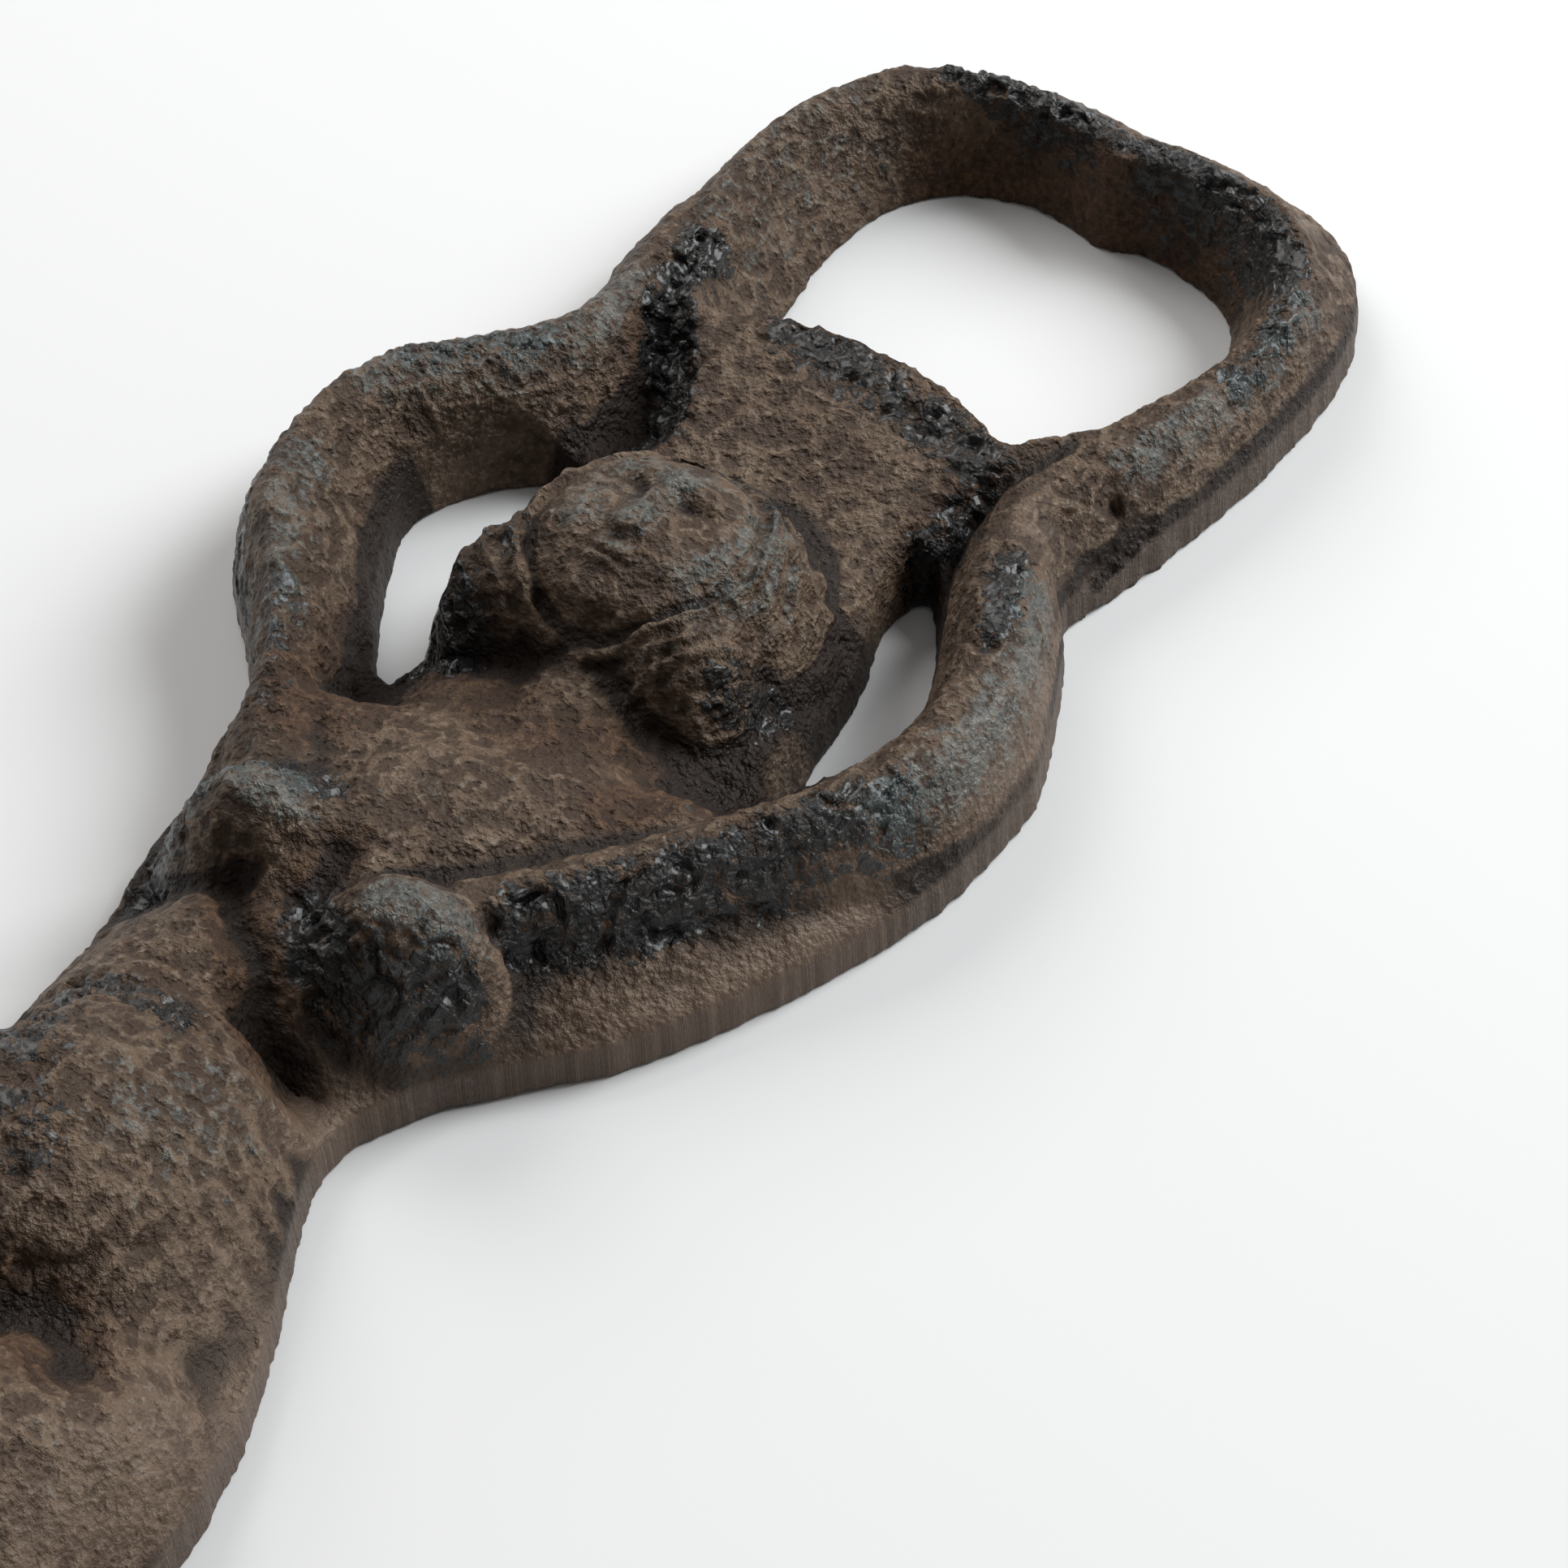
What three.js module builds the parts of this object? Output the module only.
// Sand-cast iron bottle opener in the form of a reclining figure whose raised arms run into the opener ring.
//
// Millimetres. The figure lies on its flat back: +Z is up out of its front, +Y runs from the toes to the ring,
// and +X is the figure's own left-hand side. The origin is on the back, at the middle of the outline's box.
// The real opener is one casting. Its named sections meet face to face on planes across the figure, and each
// section is one lofted solid: flat below, with a low square edge all round and a domed front.

import * as THREE from 'three';
import { ParametricGeometry } from 'three/addons/geometries/ParametricGeometry.js';

// Lengths of the sections along the figure, from the toes to the far side of the ring.
const FOOT_LENGTH = 16;
const LOWER_LEG_LENGTH = 26;
const THIGH_LENGTH = 24;
const HIPS_LENGTH = 22;
const ABDOMEN_LENGTH = 18;
const CHEST_LENGTH = 24;
const UPPER_ARM_LENGTH = 12;
const FOREARM_LENGTH = 18;
const HEAD_LENGTH = 20;

// The opening for a crown cap, 32 mm across its skirt, and the bar round it.
const CAP_OPENING_WIDTH = 27.2;   // between the ring's side walls, at the back
const CAP_OPENING_LENGTH = 25.4;  // from the lifting lip to the ring's far wall, at the back
const RING_BAR = 8.6;             // width of the bar at the back
const RING_HEIGHT = 7.5;
const OPENING_DRAFT = 3.2;        // the opening is this much wider on each side at the front
const OPENING_LEAN = 0.8;         // the opening sits this far over to the figure's left
const FAR_WALL_DRAFT = 1.2;       // and this much longer at its far end
const LIP_OVERHANG = 6;           // how far the lip reaches past the wrists into the ring
const LIP_BOW = 1.8;              // how far the middle of the lip stands proud of its two ends
const LIP_HEIGHT = 7.6;
const WEB_HEIGHT = 5.2;           // the hollow of the web plate between the lip and the head

// Half widths of the figure's outline at the back.
const ELBOW_HALF = 26.8;
const SHOULDER_STEP_RIGHT = 4.5;  // the outline comes in this far from the elbow to the shoulder
const SHOULDER_STEP_LEFT = 1.4;
const RIGHT_ARM_WIDTH = 8.3;      // across the arm at the elbow
const LEFT_ARM_WIDTH = 8;
const WAIST_HALF = 10.8;
const RIB_RIGHT = 0.8;            // the lowest rib stands this far out from the waist
const RIB_LEFT = 1.6;
const HIP_HALF = 21.5;
const KNEE_HALF = 13.4;
const ANKLE_HALF = 7.6;
const WEB_HALF = 11;              // the web plate between the wrists
const WRIST_TAPER = 0.89;         // outline at the wrists, as a share of the ring's
const HEAD_RIGHT_HALF = 9.8;
const HEAD_LEFT_HALF = 13;

// Heights of the front above the back.
const EDGE_BAND = 2.2;            // square edge left by the mould's parting line
const ARM_HEIGHT = 8.8;
const WRIST_HEIGHT = 7.6;
const HEAD_HEIGHT = 13.4;
const CHEST_HEIGHT = 9.6;
const NECK_HOLLOW = 4.2;
const BREAST_RISE = 3.6;
const BREAST_SPREAD = 4.2;
const BREAST_GAP = 11;
const BREAST_SEAT = 3.6;          // height of their middle above the waist plane
const BREAST_TILT = 1.5;          // the figure's left one lies this much lower, the right one higher
const CHEST_LEAN = 3;             // the chest sits this far over to the figure's left
const BELLY_HEIGHT = 12.4;
const THIGH_HEIGHT = 11.6;
const CALF_HEIGHT = 10;
const FOOT_HEIGHT = 6.6;
const LEG_GROOVE = 4.6;           // depth of the groove between the legs at the thighs

// Fineness of the lofts.
const DOME_STEPS = 12;
const STATION_STEP = 2;

// Planes between the sections, worked out from the lengths so that the outline's middle is at y = 0.
const RING_LENGTH = LIP_OVERHANG + CAP_OPENING_LENGTH + RING_BAR;
const TOTAL_LENGTH = FOOT_LENGTH + LOWER_LEG_LENGTH + THIGH_LENGTH + HIPS_LENGTH + ABDOMEN_LENGTH
  + CHEST_LENGTH + UPPER_ARM_LENGTH + FOREARM_LENGTH + RING_LENGTH;
const TOES = -TOTAL_LENGTH / 2;
const ANKLE = TOES + FOOT_LENGTH;
const KNEE = ANKLE + LOWER_LEG_LENGTH;
const GROIN = KNEE + THIGH_LENGTH;
const HIP_TOP = GROIN + HIPS_LENGTH;
const WAIST = HIP_TOP + ABDOMEN_LENGTH;
const SHOULDER = WAIST + CHEST_LENGTH;
const ELBOW = SHOULDER + UPPER_ARM_LENGTH;
const WRIST = ELBOW + FOREARM_LENGTH;
const CROWN = SHOULDER + HEAD_LENGTH;
const LIP_EDGE = WRIST + LIP_OVERHANG;
const RING_HALF = CAP_OPENING_WIDTH / 2 + RING_BAR;
const WRIST_HALF = RING_HALF * WRIST_TAPER;
const SHOULDER_RIGHT_HALF = ELBOW_HALF - SHOULDER_STEP_RIGHT;
const SHOULDER_LEFT_HALF = ELBOW_HALF - SHOULDER_STEP_LEFT;

// Hollows beside the neck, where the chest, the upper arms and the neck run together.
const NECK_HOLLOWS = [
  { x: -HEAD_RIGHT_HALF - 0.7, y: SHOULDER + 1, rise: -NECK_HOLLOW, spread: 3.5 },
  { x: HEAD_LEFT_HALF + 1.5, y: SHOULDER + 3, rise: -NECK_HOLLOW, spread: 3.5 },
];

// Lofting: every station is a closed loop of points, and each point runs along its own smooth rail.
// A section that lies against its neighbour is held to the plane between them by its stop.
function loft(stations, steps, stop = (x) => x) {
  const count = stations[0].length;
  const rails = stations[0].map((_, k) => {
    const points = stations.map((loop) => loop[k]);
    return new THREE.CatmullRomCurve3(points, false, 'catmullrom', 0.5);
  });
  const loops = [];
  for (let j = 0; j <= steps; j++) {
    const loop = rails.map((rail) => rail.getPoint(j / steps));
    for (const point of loop) {
      point.x = stop(point.x, point.y);
    }
    loops.push(loop);
  }
  const first = foot(loops[0]);
  const last = foot(loops[steps]);
  const surface = (u, v, target) => {
    const ring = Math.round(v * (steps + 2)) - 1;
    const point = Math.round(u * count) % count;
    if (ring < 0) target.copy(first);
    else if (ring > steps) target.copy(last);
    else target.copy(loops[ring][point]);
  };
  return new ParametricGeometry(surface, count, steps + 2);
}

// The point that an end cap fans out from: the middle of the loop, low enough to see all of a domed loop.
function foot(loop) {
  const box = new THREE.Box3().setFromPoints(loop);
  const centre = box.getCenter(new THREE.Vector3());
  centre.z = box.min.z + EDGE_BAND / 2;
  return centre;
}

// One station across the figure: flat below from left to right, edges up to their heights, domed between.
function domed(y, low, high, crown, edges = [EDGE_BAND, EDGE_BAND], bumps = []) {
  const loop = [new THREE.Vector3(low, y, 0)];
  for (let k = 0; k <= DOME_STEPS; k++) {
    const turn = Math.PI * (1 - k / DOME_STEPS);
    const along = (1 + Math.cos(turn)) / 2;
    const edge = edges[0] + (edges[1] - edges[0]) * along;
    const x = low + (high - low) * along;
    const z = edge + (crown - edge) * Math.sin(turn);
    loop.push(new THREE.Vector3(x, y, Math.max(EDGE_BAND, z + rise(x, y, bumps))));
  }
  loop.push(new THREE.Vector3(high, y, 0));
  return loop;
}

// Height added by rounded bumps, each a bell curve of its own rise and spread. A negative rise is a hollow.
function rise(x, y, bumps) {
  let height = 0;
  for (const bump of bumps) {
    const away = ((x - bump.x) ** 2 + (y - bump.y) ** 2) / (2 * bump.spread ** 2);
    height += bump.rise * Math.exp(-away);
  }
  return height;
}

// A section from one plane to another. Each row is [share of the way, low x, high x, crown, edge heights].
function section(from, to, rows, { bumps = [], stop } = {}) {
  const stations = rows.map(([share, low, high, crown, edges]) => {
    return domed(from + (to - from) * share, low, high, crown, edges, bumps);
  });
  return loft(stations, Math.max(4, Math.round((to - from) / STATION_STEP)), stop);
}

// Half the ring, from the wrist to the far middle: the outer outline in shares of the ring's half width and
// length, and the opening's outline in shares of the opening's half width and length.
const RING_OUTLINE = [
  [WRIST_TAPER, 0.00], [0.93, 0.11], [0.96, 0.20], [0.99, 0.33], [1.00, 0.47],
  [0.99, 0.66], [0.92, 0.83], [0.70, 0.945], [0.36, 0.99], [0.00, 1.00],
];
const OPENING_OUTLINE = [
  [0.84, 0.10], [0.92, 0.30], [1.00, 0.53], [0.97, 0.76], [0.80, 0.91], [0.50, 0.985], [0.22, 1.00], [0.00, 0.97],
];

function ringStation(side, k) {
  const [outShare, outAlong] = RING_OUTLINE[k];
  const outer = new THREE.Vector2(side * RING_HALF * outShare, WRIST + RING_LENGTH * outAlong);
  let back = new THREE.Vector2(side * WEB_HALF, k === 0 ? WRIST : LIP_EDGE - LIP_BOW);
  let front = back;
  if (k > 1) {
    const [inShare, inAlong] = OPENING_OUTLINE[k - 2];
    const x = side * inShare * CAP_OPENING_WIDTH / 2 + OPENING_LEAN;
    const y = LIP_EDGE + inAlong * CAP_OPENING_LENGTH;
    back = new THREE.Vector2(x, y);
    front = new THREE.Vector2(x + side * OPENING_DRAFT * inShare, y + FAR_WALL_DRAFT * inAlong ** 3);
  }
  const at = (share, z) => {
    const flat = front.clone().lerp(outer, share);
    return new THREE.Vector3(flat.x, flat.y, z);
  };
  return [
    new THREE.Vector3(outer.x, outer.y, 0),
    at(1, EDGE_BAND),
    at(0.85, RING_HEIGHT * 0.58),
    at(0.58, RING_HEIGHT * 0.86),
    at(0.26, RING_HEIGHT),
    at(0, RING_HEIGHT * 0.93),
    new THREE.Vector3(back.x, back.y, 0),
  ];
}

function openerRing() {
  const half = RING_OUTLINE.map((_, k) => k);
  const right = half.map((k) => ringStation(-1, k));
  const left = half.slice(0, -1).reverse().map((k) => ringStation(1, k));
  const stations = [...right, ...left];
  const besideLip = (x, y) => (y < LIP_EDGE + RING_BAR ? Math.sign(x) * Math.max(Math.abs(x), WEB_HALF) : x);
  return loft(stations, (stations.length - 1) * 3, besideLip);
}

// The web plate behind the crown of the head, rising to the lip that catches the cap.
function capLifterLip() {
  const stations = [1, 0.5, 0, -0.5, -1].map((share) => {
    const x = share * WEB_HALF;
    const edge = LIP_EDGE - LIP_BOW * share ** 2;
    const along = (part) => CROWN + (edge - CROWN) * part;
    return [
      new THREE.Vector3(x, CROWN, 0),
      new THREE.Vector3(x, CROWN, WEB_HEIGHT * 1.1),
      new THREE.Vector3(x, along(0.3), WEB_HEIGHT),
      new THREE.Vector3(x, along(0.65), WEB_HEIGHT + (LIP_HEIGHT - WEB_HEIGHT) * 0.45),
      new THREE.Vector3(x, along(0.9), LIP_HEIGHT),
      new THREE.Vector3(x, along(0.98), LIP_HEIGHT * 0.93),
      new THREE.Vector3(x, along(1), LIP_HEIGHT * 0.8),
      new THREE.Vector3(x, along(1), 0),
    ];
  });
  return loft(stations, 10);
}

// Head: a worn dome of hair with a plain face below it, and the neck running into the chest.
function head() {
  const low = -HEAD_RIGHT_HALF;
  const high = HEAD_LEFT_HALF;
  const middle = (low + high) / 2;
  const nose = { x: middle, y: SHOULDER + HEAD_LENGTH * 0.45, rise: 0.9, spread: 1.5 };
  const sides = [EDGE_BAND * 1.6, EDGE_BAND * 1.6];
  return section(SHOULDER, CROWN, [
    [0.00, low, high, HEAD_HEIGHT * 0.6, sides],
    [0.15, low, high, HEAD_HEIGHT * 0.7, sides],
    [0.30, low, high, HEAD_HEIGHT * 0.9, sides],
    [0.50, low, high, HEAD_HEIGHT, sides],
    [0.70, low, high, HEAD_HEIGHT * 0.94, sides],
    [0.88, low, high, HEAD_HEIGHT * 0.72, sides],
    [1.00, low, high, WEB_HEIGHT * 1.1, sides],
  ], { bumps: [nose, ...NECK_HOLLOWS], stop: (x) => Math.min(high, Math.max(low, x)) });
}

// The figure's right arm lies on -X and its left arm on +X. Both bend at the elbow and run into the ring.
// A forearm's row is [share of the way, share of the way in from the elbow's outline to the wrist's, width,
// crown]. Past the gap beside the head there is no width: the forearm lies against the web plate.
function forearm(side, rows) {
  return section(ELBOW, WRIST, rows.map(([share, inward, width, crown]) => {
    const outer = ELBOW_HALF + (WRIST_HALF - ELBOW_HALF) * inward;
    const inner = width ? outer - width : WEB_HALF;
    return limbRow(side, share, inner, outer, crown, width ? EDGE_BAND : WEB_HEIGHT);
  }), { stop: (x) => side * Math.max(side * x, WEB_HALF) });
}

// An upper arm's row is [share of the way, share of the way in from the elbow's outline to the shoulder's,
// share of the way out from the neck to the elbow's inner side, height of the inner edge].
function upperArm(side, rows, shoulderHalf, neckHalf, width) {
  return section(SHOULDER, ELBOW, rows.map(([share, inward, outward, edge]) => {
    const outer = ELBOW_HALF + (shoulderHalf - ELBOW_HALF) * inward;
    const inner = neckHalf + (ELBOW_HALF - width - neckHalf) * outward;
    return limbRow(side, share, inner, outer, ARM_HEIGHT, edge);
  }), { bumps: NECK_HOLLOWS, stop: (x) => side * Math.min(ELBOW_HALF, Math.max(side * x, neckHalf)) });
}

// One row of a limb on either side of the figure, from its half widths.
function limbRow(side, share, inner, outer, crown, innerEdge) {
  if (side < 0) return [share, -outer, -inner, crown, [EDGE_BAND, innerEdge]];
  return [share, inner, outer, crown, [innerEdge, EDGE_BAND]];
}

const RIGHT_FOREARM_ROWS = [
  [0.00, 0.00, RIGHT_ARM_WIDTH, ARM_HEIGHT],
  [0.22, 0.02, RIGHT_ARM_WIDTH + 0.5, ARM_HEIGHT],
  [0.42, 0.11, RIGHT_ARM_WIDTH + 2.5, ARM_HEIGHT * 0.98],
  [0.50, 0.26, 0, ARM_HEIGHT * 0.97],
  [0.68, 0.57, 0, ARM_HEIGHT * 0.93],
  [0.90, 0.94, 0, WRIST_HEIGHT],
  [1.00, 1.00, 0, WRIST_HEIGHT],
];
const LEFT_FOREARM_ROWS = [
  [0.00, 0.00, LEFT_ARM_WIDTH, ARM_HEIGHT],
  [0.20, 0.06, LEFT_ARM_WIDTH + 0.6, ARM_HEIGHT],
  [0.45, 0.37, LEFT_ARM_WIDTH + 0.7, ARM_HEIGHT * 0.98],
  [0.64, 0.60, LEFT_ARM_WIDTH + 1.2, ARM_HEIGHT * 0.95],
  [0.75, 0.71, 0, ARM_HEIGHT * 0.9],
  [0.90, 0.88, 0, WRIST_HEIGHT],
  [1.00, 1.00, 0, WRIST_HEIGHT],
];
const RIGHT_UPPER_ARM_ROWS = [
  [0.00, 1.00, 0.00, EDGE_BAND * 2],
  [0.12, 0.69, 0.00, EDGE_BAND * 2],
  [0.36, 0.33, 0.37, EDGE_BAND],
  [0.64, 0.04, 0.75, EDGE_BAND],
  [1.00, 0.00, 1.00, EDGE_BAND],
];
const LEFT_UPPER_ARM_ROWS = [
  [0.00, 1.00, 0.00, EDGE_BAND * 2],
  [0.26, 0.43, 0.00, EDGE_BAND * 2],
  [0.46, 0.07, 0.55, EDGE_BAND],
  [0.72, 0.00, 0.95, EDGE_BAND],
  [1.00, 0.00, 1.00, EDGE_BAND],
];

// Chest: full width at the shoulders, with a broad flange down the figure's left side. A row is [share of the
// way, share of the widening on the figure's right, share of it on the left, crown].
function chest() {
  const breasts = [-1, 1].map((side) => ({
    x: CHEST_LEAN + side * BREAST_GAP / 2,
    y: WAIST + BREAST_SEAT - side * BREAST_TILT,
    rise: BREAST_RISE,
    spread: BREAST_SPREAD,
  }));
  const rightWaist = WAIST_HALF + RIB_RIGHT;
  const leftWaist = WAIST_HALF + RIB_LEFT;
  return section(WAIST, SHOULDER, [
    [0.00, 0.00, 0.00, CHEST_HEIGHT * 0.9],
    [0.17, 0.09, 0.23, CHEST_HEIGHT * 0.94],
    [0.34, 0.15, 0.49, CHEST_HEIGHT * 0.97],
    [0.52, 0.16, 0.66, CHEST_HEIGHT],
    [0.68, 0.28, 0.79, CHEST_HEIGHT * 0.98],
    [0.84, 0.60, 0.91, ARM_HEIGHT * 1.02],
    [1.00, 1.00, 1.00, ARM_HEIGHT],
  ].map(([share, right, left, crown]) => {
    const low = rightWaist + (SHOULDER_RIGHT_HALF - rightWaist) * right;
    const high = leftWaist + (SHOULDER_LEFT_HALF - leftWaist) * left;
    return [share, -low, high, crown];
  }), { bumps: [...breasts, ...NECK_HOLLOWS] });
}

function abdomen() {
  return section(HIP_TOP, WAIST, [
    [0.00, -WAIST_HALF - 2.6, WAIST_HALF + 6, BELLY_HEIGHT],
    [0.28, -WAIST_HALF - 0.2, WAIST_HALF + 3.1, BELLY_HEIGHT * 0.98],
    [0.52, -WAIST_HALF + 0.2, WAIST_HALF + 0.6, BELLY_HEIGHT * 0.9],
    [0.74, -WAIST_HALF, WAIST_HALF - 0.3, CHEST_HEIGHT * 0.96],
    [1.00, -WAIST_HALF - 0.8, WAIST_HALF + 1.6, CHEST_HEIGHT * 0.9],
  ]);
}

function hips() {
  return section(GROIN, HIP_TOP, [
    [0.00, -HIP_HALF + 0.2, HIP_HALF - 0.2, THIGH_HEIGHT * 0.92],
    [0.20, -HIP_HALF, HIP_HALF, THIGH_HEIGHT * 0.9],
    [0.50, -HIP_HALF + 2, HIP_HALF - 0.6, BELLY_HEIGHT * 0.88],
    [0.76, -HIP_HALF + 4.8, HIP_HALF - 2.3, BELLY_HEIGHT * 0.97],
    [1.00, -WAIST_HALF - 2.6, WAIST_HALF + 6, BELLY_HEIGHT],
  ]);
}

// Each leg is half of the pair, split down the groove where the legs press together.
// A row here is [share of the way, outer half width, height, depth of the groove].
function leg(side, from, to, rows) {
  return section(from, to, rows.map(([share, half, height, groove]) => {
    const inner = height - groove;
    if (side < 0) return [share, -half, 0, height, [EDGE_BAND, inner]];
    return [share, 0, half, height, [inner, EDGE_BAND]];
  }));
}

const THIGH_ROWS = [
  [0.00, KNEE_HALF, CALF_HEIGHT, LEG_GROOVE],
  [0.20, KNEE_HALF + 1.4, CALF_HEIGHT * 1.04, LEG_GROOVE],
  [0.48, KNEE_HALF + 4, THIGH_HEIGHT * 0.98, LEG_GROOVE],
  [0.76, HIP_HALF - 1.7, THIGH_HEIGHT, LEG_GROOVE],
  [1.00, HIP_HALF - 0.2, THIGH_HEIGHT * 0.96, LEG_GROOVE * 0.6],
];
const LOWER_LEG_ROWS = [
  [0.00, ANKLE_HALF, FOOT_HEIGHT, LEG_GROOVE * 0.6],
  [0.12, ANKLE_HALF + 0.6, FOOT_HEIGHT * 1.1, LEG_GROOVE * 0.65],
  [0.32, KNEE_HALF - 2.4, CALF_HEIGHT * 0.86, LEG_GROOVE * 0.8],
  [0.60, KNEE_HALF, CALF_HEIGHT * 0.98, LEG_GROOVE],
  [0.82, KNEE_HALF + 0.4, CALF_HEIGHT, LEG_GROOVE],
  [1.00, KNEE_HALF, CALF_HEIGHT, LEG_GROOVE],
];
const FOOT_ROWS = [
  [0.00, ANKLE_HALF - 4.2, FOOT_HEIGHT * 0.48, FOOT_HEIGHT * 0.12],
  [0.10, ANKLE_HALF - 2.4, FOOT_HEIGHT * 0.56, FOOT_HEIGHT * 0.15],
  [0.28, ANKLE_HALF - 0.3, FOOT_HEIGHT * 0.7, FOOT_HEIGHT * 0.2],
  [0.52, ANKLE_HALF + 0.8, FOOT_HEIGHT * 0.88, LEG_GROOVE * 0.45],
  [0.78, ANKLE_HALF + 0.6, FOOT_HEIGHT, LEG_GROOVE * 0.55],
  [1.00, ANKLE_HALF, FOOT_HEIGHT, LEG_GROOVE * 0.6],
];

// Raw cast iron, browned with age and left rough from the sand.
const IRON = { color: 0x5f5349, roughness: 0.65, metalness: 0.7 };

function cast(name, geometry) {
  const mesh = new THREE.Mesh(geometry, new THREE.MeshStandardMaterial(IRON));
  mesh.name = name;
  return mesh;
}

const rightUpperArm = upperArm(-1, RIGHT_UPPER_ARM_ROWS, SHOULDER_RIGHT_HALF, HEAD_RIGHT_HALF, RIGHT_ARM_WIDTH);
const leftUpperArm = upperArm(1, LEFT_UPPER_ARM_ROWS, SHOULDER_LEFT_HALF, HEAD_LEFT_HALF, LEFT_ARM_WIDTH);

const opener = new THREE.Group();
opener.add(cast('opener_ring', openerRing()));
opener.add(cast('cap_lifter_lip', capLifterLip()));
opener.add(cast('head', head()));
opener.add(cast('right_forearm', forearm(-1, RIGHT_FOREARM_ROWS)));
opener.add(cast('left_forearm', forearm(1, LEFT_FOREARM_ROWS)));
opener.add(cast('right_upper_arm', rightUpperArm));
opener.add(cast('left_upper_arm', leftUpperArm));
opener.add(cast('chest', chest()));
opener.add(cast('abdomen', abdomen()));
opener.add(cast('hips', hips()));
for (const [name, side] of [['right', -1], ['left', 1]]) {
  opener.add(cast(`${name}_thigh`, leg(side, KNEE, GROIN, THIGH_ROWS)));
  opener.add(cast(`${name}_lower_leg`, leg(side, ANKLE, KNEE, LOWER_LEG_ROWS)));
  opener.add(cast(`${name}_foot`, leg(side, TOES, ANKLE, FOOT_ROWS)));
}

export default opener;
